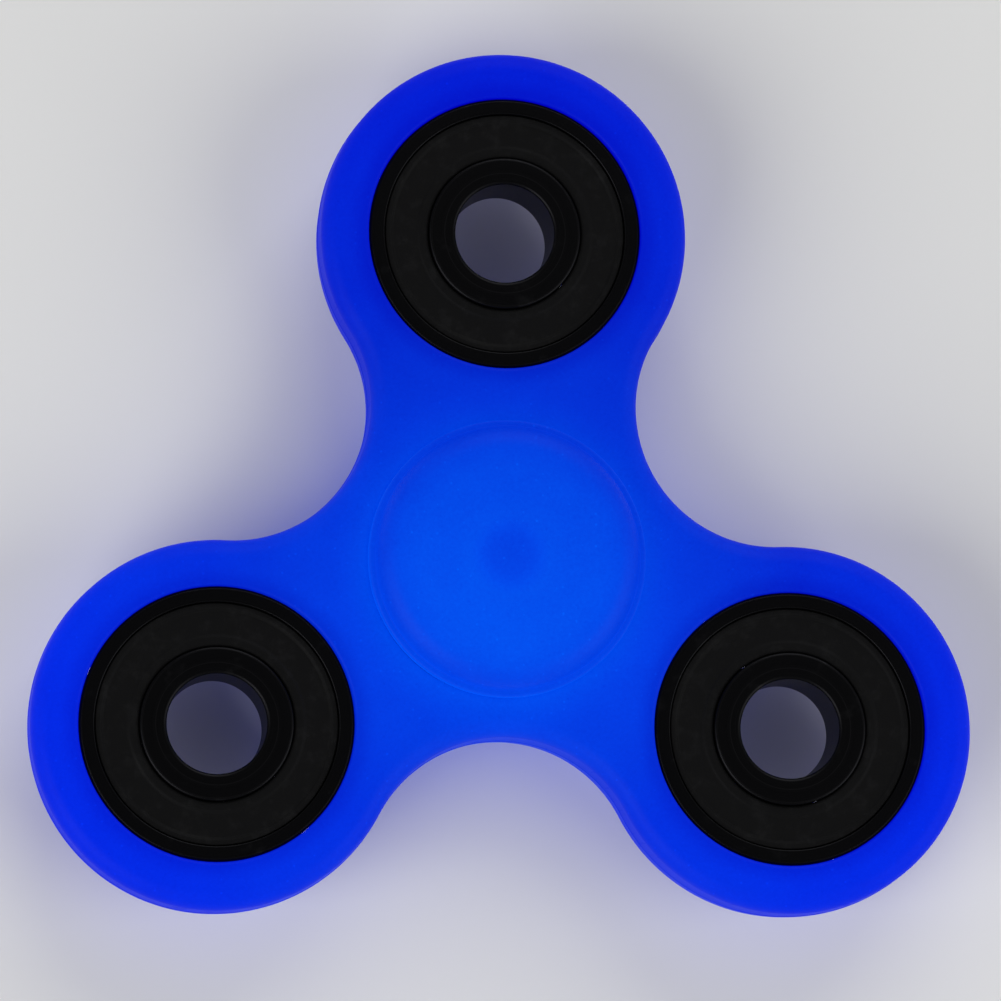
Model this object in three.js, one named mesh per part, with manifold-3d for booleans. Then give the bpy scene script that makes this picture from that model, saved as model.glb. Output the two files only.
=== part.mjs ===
// A three-lobed fidget spinner: a glow plastic body that turns on a 608 ball bearing between two finger caps,
// with a 608 bearing pressed into each lobe as a counterweight.
// Millimetres, +Z up along the spin axis, origin on the spin axis halfway through the body's thickness.
import * as THREE from "three";
import { mergeVertices } from "three/addons/utils/BufferGeometryUtils.js";
import Module from "manifold-3d";

// 608 ball bearing
const BORE_DIAMETER = 8;
const BEARING_DIAMETER = 22;
const BEARING_WIDTH = 7;
const BALL_DIAMETER = 3.969;
const BALL_COUNT = 7;
const RING_CHAMFER = 0.3;
const GROOVE_DEPTH = 0.7; // from a ring's shoulder to the floor of its ball groove
const GROOVE_RELIEF = 0.1; // the groove's radius beyond the ball's
const BALL_CLEARANCE = 0.06;
const POCKET_CLEARANCE = 0.12; // around each ball in the cage
const CAGE_FLOOR = 0.3; // cage under each ball
const CAGE_REACH = 0.8; // cage above the balls' centres
const CAGE_SIDE_GAP = 0.35; // from the cage to each ring's shoulder
const CAGE_END_GAP = 0.15; // from the cage to the seal
const SEAL_SEAT_STEP = 0.9; // from the outer ring's shoulder out to the seal's seat
const SEAL_RECESS = 0.2; // seal below the rings' end faces
const SEAL_SEAT_GAP = 0.05;
const SEAL_LIP_GAP = 0.15; // running gap from the seal to the inner ring
const SEAL_DISH_DEPTH = 0.15; // shallow trough in the seal's outer face
const SEAL_RIM_WIDTH = 0.6; // flat band on each side of that trough

// Body
const LOBE_COUNT = 3;
const LOBE_DISTANCE = 26.6; // spin axis to lobe centre
const LOBE_WALL = 3.87; // plastic around each lobe bearing
const WAIST_DISTANCE = 14.2; // spin axis to the nearest point of each waist
const BODY_LIP = 0.3; // body's faces beyond the bearings' end faces
const BODY_EDGE_RADIUS = 1.5;
const SEAT_CHAMFER = 0.3;
const SEAT_CLEARANCE = 0.03;

// Finger caps
const CAP_STANDOFF = 0.8; // from the bearing's end face to the cap's underside
const CAP_HEIGHT = 3.3;
const CAP_OVERHANG = 0.15; // cap's rim beyond the bearing
const CAP_LIP_WIDTH = 0.55;
const CAP_LIP_HEIGHT = 1.2;
const CAP_SHOULDER_WIDTH = 2;
const CAP_SHOULDER_FOOT = 0.2; // upright foot of the shoulder above the lip
const CAP_EDGE_CHAMFER = 0.15;
const CAP_SKIN = 2; // plastic over the hollow post
const BOSS_INSET = 0.25; // boss inside the inner ring's shoulder
const POST_CLEARANCE = 0.04;
const POST_END_GAP = 0.3;
const POST_CHAMFER = 0.4;
const SOCKET_DIAMETER = 4.3;
const PIN_CLEARANCE = 0.06;
const PIN_END_GAP = 1.5;

// Facets around each turned piece
const RING_FACETS = 28;
const SEAL_FACETS = 24;
const CAGE_FACETS = 28;
const BALL_FACETS = 10;
const BALL_BANDS = 6;
const POCKET_FACETS = 14;
const CAP_FACETS = 36;
const CAP_SHOULDER_STEPS = 4;
const GROOVE_STEPS = 4;
const LOBE_STEPS = 26;
const WAIST_STEPS = 11;
const EDGE_STEPS = 3;

// Sizes that follow from the ones above
const boreRadius = BORE_DIAMETER / 2;
const bearingRadius = BEARING_DIAMETER / 2;
const halfWidth = BEARING_WIDTH / 2;
const ballRadius = BALL_DIAMETER / 2;
const pitchRadius = (boreRadius + bearingRadius) / 2;
const grooveRadius = ballRadius + GROOVE_RELIEF;
const outerGrooveFloor = pitchRadius + ballRadius + BALL_CLEARANCE;
const innerGrooveFloor = pitchRadius - ballRadius - BALL_CLEARANCE;
const outerShoulder = outerGrooveFloor - GROOVE_DEPTH;
const innerShoulder = innerGrooveFloor + GROOVE_DEPTH;
const grooveAngle = Math.acos((grooveRadius - GROOVE_DEPTH) / grooveRadius);
const pocketRadius = ballRadius + POCKET_CLEARANCE;
const cageBottom = pocketRadius + CAGE_FLOOR;
const sealInnerFace = cageBottom + CAGE_END_GAP;
const sealOuterFace = halfWidth - SEAL_RECESS;
const sealSeatRadius = outerShoulder + SEAL_SEAT_STEP;
const bodyHalf = halfWidth + BODY_LIP;
const seatRadius = bearingRadius + SEAT_CLEARANCE;
const lobeRadius = seatRadius + LOBE_WALL;
const capUnderside = halfWidth + CAP_STANDOFF;
const capTop = capUnderside + CAP_HEIGHT;
const capRadius = bearingRadius + CAP_OVERHANG;
const bossRadius = innerShoulder - BOSS_INSET;
const postRadius = boreRadius - POST_CLEARANCE;
const socketRadius = SOCKET_DIAMETER / 2;
const socketCeiling = capTop - CAP_SKIN;

const glowBlue = () =>
  new THREE.MeshStandardMaterial({ color: 0x0a4bdc, roughness: 0.45, metalness: 0 });
const blackSteel = () =>
  new THREE.MeshStandardMaterial({ color: 0x121316, roughness: 0.35, metalness: 0.8 });
const blackRubber = () =>
  new THREE.MeshStandardMaterial({ color: 0x0a0a0b, roughness: 0.7, metalness: 0 });
const brightSteel = () =>
  new THREE.MeshStandardMaterial({ color: 0xb4b7bb, roughness: 0.12, metalness: 1 });
const blackNylon = () =>
  new THREE.MeshStandardMaterial({ color: 0x18191b, roughness: 0.6, metalness: 0 });

const wasm = await Module();
wasm.setup();

/** A geometry as a manifold-3d solid. */
function solidOf(geometry) {
  const bare = geometry.index ? geometry.toNonIndexed() : geometry.clone();
  bare.deleteAttribute("normal");
  bare.deleteAttribute("uv");
  const merged = mergeVertices(bare, 1e-4);
  const solid = new wasm.Manifold(
    new wasm.Mesh({
      numProp: 3,
      vertProperties: merged.attributes.position.array,
      triVerts: new Uint32Array(merged.index.array),
    }),
  );
  return solid;
}

/** A manifold-3d solid as a three.js geometry. */
function geometryOf(solid) {
  const mesh = solid.getMesh();
  const geometry = new THREE.BufferGeometry();
  geometry.setAttribute("position", new THREE.BufferAttribute(mesh.vertProperties, 3));
  geometry.setIndex(new THREE.BufferAttribute(mesh.triVerts, 1));
  return geometry;
}

/** A profile of [radius, height] points turned about Z. It runs up the outside and down the inside. */
function turned(profile, facets) {
  const points = profile.map(([radius, height]) => new THREE.Vector2(radius, height));
  const lathe = new THREE.LatheGeometry(points, facets);
  lathe.rotateX(Math.PI / 2);
  return lathe;
}

/** A ring's profile closed on itself. */
function turnedRing(profile, facets) {
  return turned([...profile, profile[0]], facets);
}

/** Points of a circular arc, both ends included. */
function arc([x, y], radius, from, to, steps) {
  return Array.from({ length: steps + 1 }, (_, i) => {
    const angle = from + ((to - from) * i) / steps;
    return [x + radius * Math.cos(angle), y + radius * Math.sin(angle)];
  });
}

function outerRing() {
  const centre = [outerGrooveFloor - grooveRadius, 0];
  const profile = [
    [bearingRadius - RING_CHAMFER, -halfWidth],
    [bearingRadius, -halfWidth + RING_CHAMFER],
    [bearingRadius, halfWidth - RING_CHAMFER],
    [bearingRadius - RING_CHAMFER, halfWidth],
    [sealSeatRadius, halfWidth],
    [sealSeatRadius, sealInnerFace - SEAL_SEAT_GAP],
    [outerShoulder, sealInnerFace - SEAL_SEAT_GAP],
    ...arc(centre, grooveRadius, grooveAngle, -grooveAngle, GROOVE_STEPS),
    [outerShoulder, -sealInnerFace + SEAL_SEAT_GAP],
    [sealSeatRadius, -sealInnerFace + SEAL_SEAT_GAP],
    [sealSeatRadius, -halfWidth],
  ];
  return turnedRing(profile, RING_FACETS);
}

function innerRing() {
  const centre = [innerGrooveFloor + grooveRadius, 0];
  const profile = [
    [innerShoulder - RING_CHAMFER, -halfWidth],
    [innerShoulder, -halfWidth + RING_CHAMFER],
    ...arc(centre, grooveRadius, Math.PI + grooveAngle, Math.PI - grooveAngle, GROOVE_STEPS),
    [innerShoulder, halfWidth - RING_CHAMFER],
    [innerShoulder - RING_CHAMFER, halfWidth],
    [boreRadius + RING_CHAMFER, halfWidth],
    [boreRadius, halfWidth - RING_CHAMFER],
    [boreRadius, -halfWidth + RING_CHAMFER],
    [boreRadius + RING_CHAMFER, -halfWidth],
  ];
  return turnedRing(profile, RING_FACETS);
}

/** The upper seal: a flat annulus with a shallow trough in its outer face. */
function seal() {
  const inner = innerShoulder + SEAL_LIP_GAP;
  const outer = sealSeatRadius - SEAL_SEAT_GAP;
  const profile = [
    [inner, sealInnerFace],
    [outer, sealInnerFace],
    [outer, sealOuterFace],
    [outer - SEAL_RIM_WIDTH, sealOuterFace],
    [(inner + outer) / 2, sealOuterFace - SEAL_DISH_DEPTH],
    [inner + SEAL_RIM_WIDTH, sealOuterFace],
    [inner, sealOuterFace],
  ];
  return turnedRing(profile, SEAL_FACETS);
}

function ball() {
  const profile = arc([0, 0], ballRadius, -Math.PI / 2, Math.PI / 2, BALL_BANDS);
  profile[0][0] = 0;
  profile[BALL_BANDS][0] = 0;
  return turned(profile, BALL_FACETS);
}

/** The angle of one ball about its bearing's axis. */
const ballAngle = (index) => (2 * Math.PI * index) / BALL_COUNT;

/** The crown cage: a ring with one pocket for each ball, open upwards. */
function cage() {
  const inner = innerShoulder + CAGE_SIDE_GAP;
  const outer = outerShoulder - CAGE_SIDE_GAP;
  const profile = [
    [inner, -cageBottom],
    [outer, -cageBottom],
    [outer, CAGE_REACH],
    [inner, CAGE_REACH],
  ];
  let solid = solidOf(turnedRing(profile, CAGE_FACETS));
  const pocketProfile = [
    [0, 0],
    [pocketRadius, 0],
    [pocketRadius, bearingRadius],
    [0, bearingRadius],
  ];
  for (let i = 0; i < BALL_COUNT; i += 1) {
    const pocket = turned(pocketProfile, POCKET_FACETS);
    pocket.rotateY(Math.PI / 2);
    pocket.rotateZ(ballAngle(i));
    solid = solid.subtract(solidOf(pocket));
  }
  return geometryOf(solid);
}

/** The lobe centres, the first one at +Y. */
const lobeAngle = (index) => Math.PI / 2 + (2 * Math.PI * index) / LOBE_COUNT;
const lobeCentre = (index) => [
  LOBE_DISTANCE * Math.cos(lobeAngle(index)),
  LOBE_DISTANCE * Math.sin(lobeAngle(index)),
];

/** The outline: round lobes joined by waist arcs tangent to the lobes on both sides. */
function outline() {
  const half = Math.PI / LOBE_COUNT;
  const lobeAlong = LOBE_DISTANCE * Math.cos(half);
  const waistRadius =
    (LOBE_DISTANCE ** 2 + WAIST_DISTANCE ** 2 - 2 * WAIST_DISTANCE * lobeAlong - lobeRadius ** 2) /
    (2 * (lobeRadius + lobeAlong - WAIST_DISTANCE));
  const waistCentreDistance = WAIST_DISTANCE + waistRadius;
  const points = [];
  for (let i = 0; i < LOBE_COUNT; i += 1) {
    const middle = lobeAngle(i);
    const [cx, cy] = lobeCentre(i);
    const waistMiddle = middle + half;
    const wx = waistCentreDistance * Math.cos(waistMiddle);
    const wy = waistCentreDistance * Math.sin(waistMiddle);
    const towardsWaist = Math.atan2(wy - cy, wx - cx);
    let reach = towardsWaist - middle;
    if (reach < 0) reach += 2 * Math.PI;
    points.push(...arc([cx, cy], lobeRadius, middle - reach, middle + reach, LOBE_STEPS));
    const spread = reach - half;
    const inward = waistMiddle + Math.PI;
    const waist = arc([wx, wy], waistRadius, inward + spread, inward - spread, WAIST_STEPS);
    points.push(...waist.slice(1, -1));
  }
  return points.map(([x, y]) => new THREE.Vector2(x, y));
}

/** The tool that cuts a bearing seat, with a chamfer at both mouths. */
function seatCutter() {
  const past = bodyHalf + SEAT_CHAMFER;
  const wide = seatRadius + 2 * SEAT_CHAMFER;
  const profile = [
    [0, -past],
    [wide, -past],
    [seatRadius, -bodyHalf + SEAT_CHAMFER],
    [seatRadius, bodyHalf - SEAT_CHAMFER],
    [wide, past],
    [0, past],
  ];
  return turned(profile, RING_FACETS);
}

function spinnerBody() {
  const plate = new THREE.ExtrudeGeometry(new THREE.Shape(outline()), {
    depth: 2 * (bodyHalf - BODY_EDGE_RADIUS),
    bevelThickness: BODY_EDGE_RADIUS,
    bevelSize: BODY_EDGE_RADIUS,
    bevelOffset: -BODY_EDGE_RADIUS,
    bevelSegments: EDGE_STEPS,
  });
  plate.translate(0, 0, -bodyHalf + BODY_EDGE_RADIUS);
  let solid = solidOf(plate).subtract(solidOf(seatCutter()));
  for (let i = 0; i < LOBE_COUNT; i += 1) {
    const cutter = seatCutter();
    cutter.translate(...lobeCentre(i), 0);
    solid = solid.subtract(solidOf(cutter));
  }
  return geometryOf(solid);
}

/** The cap's outside, from the boss's foot round the rim to the edge of the flat top. */
function capOutside() {
  const shoulderRadius = capRadius - CAP_LIP_WIDTH;
  const lipTop = capUnderside + CAP_LIP_HEIGHT;
  const shoulderFoot = lipTop + CAP_SHOULDER_FOOT;
  const shoulder = Array.from({ length: CAP_SHOULDER_STEPS + 1 }, (_, i) => {
    const angle = (Math.PI / 2) * (i / CAP_SHOULDER_STEPS);
    return [
      shoulderRadius - CAP_SHOULDER_WIDTH * (1 - Math.cos(angle)),
      shoulderFoot + (capTop - shoulderFoot) * Math.sin(angle),
    ];
  });
  return [
    [bossRadius, halfWidth],
    [bossRadius, capUnderside],
    [capRadius - CAP_EDGE_CHAMFER, capUnderside],
    [capRadius, capUnderside + CAP_EDGE_CHAMFER],
    [capRadius, lipTop - CAP_EDGE_CHAMFER],
    [capRadius - CAP_EDGE_CHAMFER, lipTop],
    [shoulderRadius, lipTop],
    ...shoulder,
  ];
}

/** The upper cap: head, boss, and a hollow post down through the bearing. */
function upperCap() {
  const postEnd = -halfWidth + POST_END_GAP;
  const profile = [
    [0, socketCeiling],
    [socketRadius, socketCeiling],
    [socketRadius, postEnd],
    [postRadius - POST_CHAMFER, postEnd],
    [postRadius, postEnd + POST_CHAMFER],
    [postRadius, halfWidth],
    ...capOutside(),
    [0, capTop],
  ];
  return turned(profile, CAP_FACETS);
}

/** The lower cap, made head up and turned over in place: head, boss, and a pin that fills the post. */
function lowerCap() {
  const pinRadius = socketRadius - PIN_CLEARANCE;
  const pinEnd = -(socketCeiling - PIN_END_GAP);
  const profile = [
    [0, pinEnd],
    [pinRadius - POST_CHAMFER, pinEnd],
    [pinRadius, pinEnd + POST_CHAMFER],
    [pinRadius, halfWidth],
    ...capOutside(),
    [0, capTop],
  ];
  return turned(profile, CAP_FACETS);
}

const spinner = new THREE.Group();
spinner.name = "fidget_spinner";

/** Adds one named piece to a group, moved and turned as asked. */
function addPiece(group, name, geometry, material, position = [0, 0, 0], turn = [0, 0, 0]) {
  const mesh = new THREE.Mesh(geometry, material);
  mesh.name = name;
  mesh.position.set(...position);
  mesh.rotation.set(...turn);
  group.add(mesh);
}

/** The twelve pieces of one bearing. */
function addBearing(prefix, [x, y]) {
  const bearing = new THREE.Group();
  bearing.name = `${prefix}_bearing`;
  bearing.position.set(x, y, 0);
  addPiece(bearing, `${prefix}_outer_ring`, outerRing(), blackSteel());
  addPiece(bearing, `${prefix}_inner_ring`, innerRing(), blackSteel());
  addPiece(bearing, `${prefix}_cage`, cage(), blackNylon());
  for (let i = 0; i < BALL_COUNT; i += 1) {
    const angle = ballAngle(i);
    const place = [pitchRadius * Math.cos(angle), pitchRadius * Math.sin(angle), 0];
    addPiece(bearing, `${prefix}_ball_${i + 1}`, ball(), brightSteel(), place);
  }
  addPiece(bearing, `${prefix}_upper_seal`, seal(), blackRubber());
  addPiece(bearing, `${prefix}_lower_seal`, seal(), blackRubber(), [0, 0, 0], [Math.PI, 0, 0]);
  spinner.add(bearing);
}

addPiece(spinner, "spinner_body", spinnerBody(), glowBlue());
addPiece(spinner, "upper_cap", upperCap(), glowBlue());
addPiece(spinner, "lower_cap", lowerCap(), glowBlue(), [0, 0, 0], [Math.PI, 0, 0]);
addBearing("centre", [0, 0]);
for (let i = 0; i < LOBE_COUNT; i += 1) {
  addBearing(`lobe_${i + 1}`, lobeCentre(i));
}

export default spinner;
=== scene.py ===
"""Finishes a three-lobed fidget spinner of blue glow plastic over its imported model.

Every piece is modelled at its own size in the model's frame, in metres, with +Z up the spin axis.
"""

import logging
import math
from dataclasses import dataclass, field
from enum import Enum
from typing import Callable, Sequence

import bmesh
import bpy
from mathutils import Matrix, Vector


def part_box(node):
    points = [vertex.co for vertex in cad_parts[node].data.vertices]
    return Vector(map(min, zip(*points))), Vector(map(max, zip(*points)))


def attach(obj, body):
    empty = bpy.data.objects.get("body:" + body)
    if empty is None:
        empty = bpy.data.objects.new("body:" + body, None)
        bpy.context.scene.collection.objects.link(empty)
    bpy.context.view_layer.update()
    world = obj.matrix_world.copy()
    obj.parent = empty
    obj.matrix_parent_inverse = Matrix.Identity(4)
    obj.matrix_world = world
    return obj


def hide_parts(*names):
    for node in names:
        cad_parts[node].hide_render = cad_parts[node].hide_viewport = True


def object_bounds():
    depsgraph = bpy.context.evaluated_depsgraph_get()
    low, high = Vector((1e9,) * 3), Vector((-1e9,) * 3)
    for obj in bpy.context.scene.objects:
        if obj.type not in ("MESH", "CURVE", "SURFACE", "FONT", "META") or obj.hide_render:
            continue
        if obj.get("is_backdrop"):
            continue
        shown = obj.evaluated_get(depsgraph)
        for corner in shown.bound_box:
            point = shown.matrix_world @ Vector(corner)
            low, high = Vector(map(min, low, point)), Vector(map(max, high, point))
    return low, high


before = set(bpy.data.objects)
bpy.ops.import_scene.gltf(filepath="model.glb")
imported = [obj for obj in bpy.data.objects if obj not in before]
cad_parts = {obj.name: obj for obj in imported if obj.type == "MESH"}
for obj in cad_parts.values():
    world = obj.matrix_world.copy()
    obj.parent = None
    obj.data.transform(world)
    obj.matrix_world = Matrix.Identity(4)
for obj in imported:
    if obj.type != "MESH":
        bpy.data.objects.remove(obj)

log = logging.getLogger("spinner")

MM = 0.001
FULL_TURN = 2 * math.pi
FLOOR_GAP = 0.02 * MM  # keeps the lower cap's face off the floor

# In millimetres and degrees.
WELD_GAP = 0.0005  # doubled points closer than this become one
SAME_CORNER = 0.001  # a point this close to a profile's corner is that corner
SAME_PLACE = 0.01  # a point this close to a place on the body's outline is there
SMOOTH_ANGLE = 32.0  # edges sharper than this stay sharp when shaded

Colour = tuple[float, float, float]


class Side(Enum):
    """Which face of the spinner a piece belongs to."""

    UPPER = "upper"
    LOWER = "lower"


class GlowPiece(Enum):
    """The two mouldings whose glow fades in different ways."""

    BODY = "body"
    CAP = "cap"


def linear(red: float, green: float, blue: float) -> Colour:
    """A display colour of 0 to 255 a channel as scene-linear values.

    Args:
        red: Red channel.
        green: Green channel.
        blue: Blue channel.

    Returns:
        The three linear values.
    """

    def channel(value: float) -> float:
        """One channel on the display curve."""
        share = value / 255
        return share / 12.92 if share <= 0.04045 else ((share + 0.055) / 1.055) ** 2.4

    return channel(red), channel(green), channel(blue)


# --- modelling moves -------------------------------------------------------------------------------------


class Bench:
    """The modelling moves that every piece is made with."""

    @staticmethod
    def clear() -> None:
        """Leaves edit mode and deselects everything."""
        if bpy.context.object is not None and bpy.context.object.mode != "OBJECT":
            bpy.ops.object.mode_set(mode="OBJECT")
        bpy.ops.object.select_all(action="DESELECT")

    @staticmethod
    def take(piece: bpy.types.Object) -> None:
        """Makes one piece the only selected and active object.

        Args:
            piece: The piece to work on.
        """
        Bench.clear()
        piece.select_set(True)
        bpy.context.view_layer.objects.active = piece

    @staticmethod
    def settle() -> None:
        """Moves the selected pieces' place, turn and size into their meshes."""
        bpy.ops.object.transform_apply(location=True, rotation=True, scale=True)

    @staticmethod
    def pick_all() -> None:
        """Selects the whole mesh in edit mode."""
        bpy.ops.mesh.select_all(action="SELECT")

    @staticmethod
    def start_from_point(name: str, place: Vector) -> bpy.types.Object:
        """Starts a mesh from one vertex, and stays in edit mode with it selected.

        Args:
            name: Name of the new piece.
            place: Where the vertex goes, in millimetres.

        Returns:
            The new object.
        """
        Bench.clear()
        bpy.ops.mesh.primitive_plane_add(size=MM, location=place * MM)
        Bench.settle()
        piece = bpy.context.object
        piece.name = name
        piece.data.name = name
        bpy.ops.object.mode_set(mode="EDIT")
        bpy.ops.mesh.select_mode(type="VERT")
        Bench.pick_all()
        bpy.ops.mesh.merge(type="CENTER")
        return piece

    @staticmethod
    def extrude(step: Vector) -> None:
        """Extrudes what is selected by a step in millimetres."""
        bpy.ops.mesh.extrude_region_move(TRANSFORM_OT_translate={"value": step * MM})

    @staticmethod
    def pick_points(test: Callable[[Vector], bool]) -> None:
        """Selects the vertices of the mesh in edit mode whose place passes a test.

        Args:
            test: Gets a vertex's place in millimetres.
        """
        bpy.ops.mesh.select_mode(type="VERT")
        mesh = bpy.context.object.data
        shape = bmesh.from_edit_mesh(mesh)
        for vertex in shape.verts:
            vertex.select = test(vertex.co / MM)
        shape.select_flush_mode()
        bmesh.update_edit_mesh(mesh)

    @staticmethod
    def pick_edges(test: Callable[[Vector, Vector, float], bool]) -> None:
        """Selects the edges of the mesh in edit mode that pass a test.

        Args:
            test: Gets an edge's two ends in millimetres and the angle between its faces.
        """
        bpy.ops.mesh.select_mode(type="EDGE")
        bpy.ops.mesh.select_all(action="DESELECT")
        mesh = bpy.context.object.data
        shape = bmesh.from_edit_mesh(mesh)
        for edge in shape.edges:
            first, second = (vertex.co / MM for vertex in edge.verts)
            edge.select_set(test(first, second, edge.calc_face_angle(0.0)))
        bmesh.update_edit_mesh(mesh)

    @staticmethod
    def tidy_mesh() -> None:
        """Merges doubled points of the mesh in edit mode and turns its faces outwards."""
        bpy.ops.mesh.select_mode(type="VERT")
        Bench.pick_all()
        bpy.ops.mesh.remove_doubles(threshold=WELD_GAP * MM)
        bpy.ops.mesh.normals_make_consistent(inside=False)

    @staticmethod
    def finish_surface(piece: bpy.types.Object) -> None:
        """Shades a piece smooth except at its sharp edges, and keeps its flat faces flat.

        Args:
            piece: The piece to shade.
        """
        Bench.take(piece)
        bpy.ops.object.shade_smooth_by_angle(angle=math.radians(SMOOTH_ANGLE))
        weighted = piece.modifiers.new("flat faces", "WEIGHTED_NORMAL")
        weighted.keep_sharp = True
        weighted.weight = 60
        bpy.ops.object.modifier_apply(modifier=weighted.name)

    @staticmethod
    def copy(piece: bpy.types.Object, name: str, move: Vector) -> bpy.types.Object:
        """Copies a piece with its own mesh and moves the copy's mesh.

        Args:
            piece: The piece to copy.
            name: Name of the copy.
            move: How far it moves, in millimetres.

        Returns:
            The copy, its object still at the origin.
        """
        Bench.take(piece)
        bpy.ops.object.duplicate(linked=False)
        twin = bpy.context.object
        twin.name = name
        twin.data.name = name
        bpy.ops.transform.translate(value=move * MM)
        Bench.settle()
        return twin

    @staticmethod
    def turn_over(piece: bpy.types.Object) -> None:
        """Turns a piece's mesh half a turn about X, through the origin.

        Args:
            piece: The piece to turn over.
        """
        Bench.take(piece)
        bpy.ops.transform.rotate(value=math.pi, orient_axis="X", center_override=(0, 0, 0))
        Bench.settle()


@dataclass(frozen=True)
class Corner:
    """One corner of a turned profile, in millimetres: radius, height, and how far its rounding reaches."""

    radius: float
    height: float
    ease: float = 0.0

    def place(self) -> Vector:
        """Where the corner lies on the XZ plane."""
        return Vector((self.radius, 0, self.height))


class Lathe:
    """Draws a profile corner by corner, rounds it, and spins it about Z."""

    @staticmethod
    def turn(
        name: str, corners: Sequence[Corner], steps: int, closed: bool, rounding: int = 4
    ) -> bpy.types.Object:
        """Makes one turned piece.

        Args:
            name: Name of the piece.
            corners: The profile.
            steps: Faces around the piece.
            closed: True for a ring, whose last corner joins its first.
            rounding: Segments in each rounded corner.

        Returns:
            The turned piece.
        """
        piece = Bench.start_from_point(name, corners[0].place())
        for before, after in zip(corners, corners[1:]):
            Bench.extrude(after.place() - before.place())
        if closed:
            ends = (corners[0].place(), corners[-1].place())
            Bench.pick_points(lambda at: any((at - end).length < SAME_CORNER for end in ends))
            bpy.ops.mesh.edge_face_add()
        for corner in corners:
            if corner.ease:
                Bench.pick_points(lambda at, here=corner.place(): (at - here).length < SAME_CORNER)
                bpy.ops.mesh.bevel(offset=corner.ease * MM, segments=rounding, profile=0.5, affect="VERTICES")
        Bench.pick_all()
        bpy.ops.mesh.spin(steps=steps, angle=FULL_TURN, center=(0, 0, 0), axis=(0, 0, 1))
        Bench.tidy_mesh()
        bpy.ops.object.mode_set(mode="OBJECT")
        Bench.finish_surface(piece)
        return piece

    @staticmethod
    def arc(centre: Corner, radius: float, start: float, end: float, steps: int) -> list[Corner]:
        """Corners along a circular arc of a profile.

        Args:
            centre: The arc's centre.
            radius: Its radius in millimetres.
            start: Angle of the first corner, in radians.
            end: Angle of the last corner, in radians.
            steps: Straight pieces in the arc.

        Returns:
            The corners, both ends included.
        """
        angles = (start + (end - start) * step / steps for step in range(steps + 1))
        return [
            Corner(centre.radius + radius * math.cos(angle), centre.height + radius * math.sin(angle))
            for angle in angles
        ]


# --- finishes --------------------------------------------------------------------------------------------


class Graph:
    """A short way to write a node tree."""

    def __init__(self, tree: bpy.types.NodeTree) -> None:
        """Takes over a node tree.

        Args:
            tree: The tree to add nodes to.
        """
        self.tree = tree

    def set(self, socket: bpy.types.NodeSocket, value: object) -> None:
        """Links a socket to another socket, or sets its value.

        Args:
            socket: The input socket.
            value: An output socket, a number, or a tuple.
        """
        if isinstance(value, bpy.types.NodeSocket):
            self.tree.links.new(value, socket)
        elif isinstance(value, tuple) and socket.type == "RGBA" and len(value) == 3:
            socket.default_value = (*value, 1.0)
        else:
            socket.default_value = value

    def node(
        self, kind: str, inputs: dict[str | int, object] | None = None, **settings: object
    ) -> bpy.types.Node:
        """Adds a node.

        Args:
            kind: Type of the node, without its ShaderNode prefix.
            inputs: Values or links by input name or number.
            **settings: Properties of the node.

        Returns:
            The node.
        """
        made = self.tree.nodes.new("ShaderNode" + kind)
        for key, value in settings.items():
            setattr(made, key, value)
        for key, value in (inputs or {}).items():
            self.set(made.inputs[key], value)
        return made

    def maths(self, operation: str, *values: object) -> bpy.types.NodeSocket:
        """Adds a Math node and returns its result.

        Args:
            operation: The node's operation.
            *values: Its inputs in order.

        Returns:
            The output socket.
        """
        return self.node("Math", dict(enumerate(values)), operation=operation).outputs[0]

    def vector(self, operation: str, *values: object) -> bpy.types.Node:
        """Adds a Vector Math node.

        Args:
            operation: The node's operation.
            *values: Its inputs in order.

        Returns:
            The node.
        """
        return self.node("VectorMath", dict(enumerate(values)), operation=operation)

    def smooth(
        self, value: object, low: float, high: float, start: float = 0.0, end: float = 1.0
    ) -> bpy.types.NodeSocket:
        """Eases a value from one number to another as it crosses a range.

        Args:
            value: The value to watch.
            low: Where the change starts.
            high: Where it ends.
            start: Result below the range.
            end: Result above the range.

        Returns:
            The output socket.
        """
        inputs = {"Value": value, "From Min": low, "From Max": high, "To Min": start, "To Max": end}
        return self.node("MapRange", inputs, interpolation_type="SMOOTHSTEP").outputs[0]

    def noise(self, place: object, scale: float, detail: float, rough: float) -> bpy.types.NodeSocket:
        """Adds a noise texture and returns its value.

        Args:
            place: Texture coordinates.
            scale: Features a metre.
            detail: Octaves.
            rough: How strong the finer octaves are.

        Returns:
            The Factor output.
        """
        inputs = {"Vector": place, "Scale": scale, "Detail": detail, "Roughness": rough}
        return self.node("TexNoise", inputs).outputs[0]

    def ramp(self, value: object, stops: Sequence[tuple[float, Colour]]) -> bpy.types.NodeSocket:
        """Adds a colour ramp.

        Args:
            value: Where on the ramp.
            stops: Positions and linear colours in order.

        Returns:
            The Color output.
        """
        made = self.node("ValToRGB", {0: value})
        elements = made.color_ramp.elements
        while len(elements) > len(stops):
            elements.remove(elements[-1])
        while len(elements) < len(stops):
            elements.new(1.0)
        for element, (position, colour) in zip(elements, stops):
            element.position = position
            element.color = (*colour, 1.0)
        return made.outputs[0]


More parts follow.
